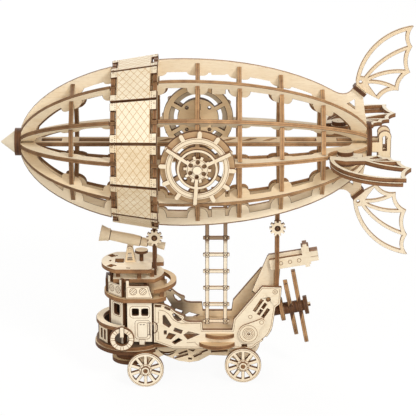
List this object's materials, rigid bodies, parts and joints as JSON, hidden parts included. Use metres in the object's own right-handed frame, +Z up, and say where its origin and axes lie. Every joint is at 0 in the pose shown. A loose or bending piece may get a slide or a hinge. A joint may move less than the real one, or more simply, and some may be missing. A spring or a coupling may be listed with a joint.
{
  "type": "model airship",
  "caption": "Plywood model airship: an open envelope of rings and stringers with fins and helm wheels over a wheeled ship-like gondola with a propeller and a tilting telescope.",
  "frame": {"origin": "on the ground under the middle of the overall box", "axes": "+X towards the tail along the envelope, +Z up, -Y the side with the life buoy"},
  "size_m": [0.2964, 0.1882, 0.2641],
  "materials": {
    "pale": "bare basswood plywood face",
    "warm": "bare plywood face, slightly darker sheet",
    "brown": "plywood seen mostly at its laser-browned edges, and dowels",
    "scorched": "small plates seen mostly at their laser-burnt edges"
  },
  "bodies": {
    "frame": {"nose_cone": "pale", "nose_disc": "scorched", "tail_disc": "scorched", "spine": "warm", "top_keel": "pale", "bottom_keel": "pale", "shoulder_stringers": "pale", "upper_stringers": "pale", "side_stringers": "pale", "lower_stringers": "pale", "belly_stringers": "pale", "ring_1": "brown", "ring_2": "brown", "ring_3": "brown", "ring_4": "brown", "ring_5": "brown", "ring_6": "brown", "ring_7": "brown", "band_plates": "pale", "top_fin": "pale", "bottom_fin": "pale", "fin_collars": "scorched", "fin_pivots": "brown", "tail_bracket": "warm", "helm_backs": "brown", "helm_pins": "brown", "front_strut": "scorched", "rear_strut": "scorched", "strut_knobs": "pale", "ladder": "pale", "hull_sides": "pale", "floor_board": "warm", "well_deck": "warm", "stern_boards": "warm", "engine_covers": "pale", "steps": "warm", "chassis": "pale", "bow_plate": "scorched", "bow_rail": "pale", "bow_walls": "pale", "tower_walls": "pale", "balcony": "warm", "bridge_walls": "pale", "upper_decks": "warm", "scope_stand": "brown", "life_buoy": "pale", "stern_gun": "pale"},
    "propeller": {"propeller": "scorched", "prop_shaft": "brown"},
    "front_wheel_set": {"front_wheels": "pale", "front_axle": "brown"},
    "rear_wheel_set": {"rear_wheels": "pale", "rear_axle": "brown"},
    "telescope": {"telescope": "warm"},
    "near_helm": {"near_helm": "pale", "near_helm_boss": "pale"},
    "far_helm": {"far_helm": "pale", "far_helm_boss": "pale"},
    "near_fin": {"near_fin": "pale"},
    "far_fin": {"far_fin": "pale"}
  },
  "joints": [
    {"name": "propeller_spin", "type": "hinge", "parent": "frame", "child": "propeller", "pos_m": [0.0698, 0, 0.051], "axis": [0.9816, 0, 0.1908], "continuous": true},
    {"name": "front_axle_spin", "type": "hinge", "parent": "frame", "child": "front_wheel_set", "pos_m": [-0.0441, 0, 0.0134], "axis": [0, 1, 0], "continuous": true},
    {"name": "rear_axle_spin", "type": "hinge", "parent": "frame", "child": "rear_wheel_set", "pos_m": [0.0275, 0, 0.0134], "axis": [0, 1, 0], "continuous": true},
    {"name": "telescope_tilt", "type": "hinge", "parent": "frame", "child": "telescope", "pos_m": [-0.0558, 0, 0.0964], "axis": [0, 1, 0], "range_deg": [-10, 10]},
    {"name": "near_helm_spin", "type": "hinge", "parent": "frame", "child": "near_helm", "pos_m": [-0.00575, -0.0647, 0.178], "axis": [0, 1, 0], "continuous": true},
    {"name": "far_helm_spin", "type": "hinge", "parent": "frame", "child": "far_helm", "pos_m": [-0.00575, 0.0647, 0.178], "axis": [0, 1, 0], "continuous": true},
    {"name": "near_fin_swing", "type": "hinge", "parent": "frame", "child": "near_fin", "pos_m": [0.099, -0.0385, 0.178], "axis": [0, 0, 1], "range_deg": [-10, 10]},
    {"name": "far_fin_swing", "type": "hinge", "parent": "frame", "child": "far_fin", "pos_m": [0.099, 0.0385, 0.178], "axis": [0, 0, 1], "range_deg": [-10, 10]}
  ]
}
